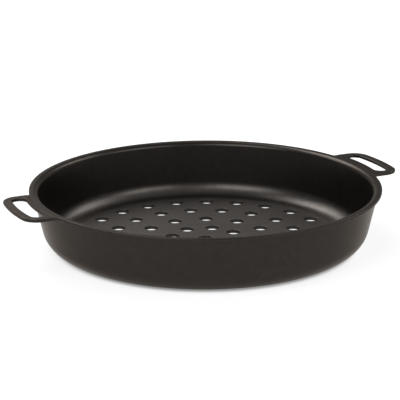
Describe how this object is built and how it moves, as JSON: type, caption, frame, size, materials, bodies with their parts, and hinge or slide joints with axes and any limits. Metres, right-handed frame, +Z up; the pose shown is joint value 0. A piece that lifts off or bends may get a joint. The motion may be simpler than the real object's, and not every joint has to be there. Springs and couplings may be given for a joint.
{
  "type": "perforated grill pan",
  "caption": "Round shallow pan of dark iron with a floor pierced by rings of holes, a thickened lip and two flat slotted handles level with the rim.",
  "frame": {"origin": "middle of the flat resting face under the floor", "axes": "+X out along the right handle, +Y across the handles, +Z up out of the pan"},
  "size_m": [0.3484, 0.3, 0.0511],
  "materials": {
    "seasoned_iron": "satin"
  },
  "bodies": {
    "root": {"pan_body": "seasoned_iron", "left_handle": "seasoned_iron", "right_handle": "seasoned_iron"}
  },
  "joints": []
}
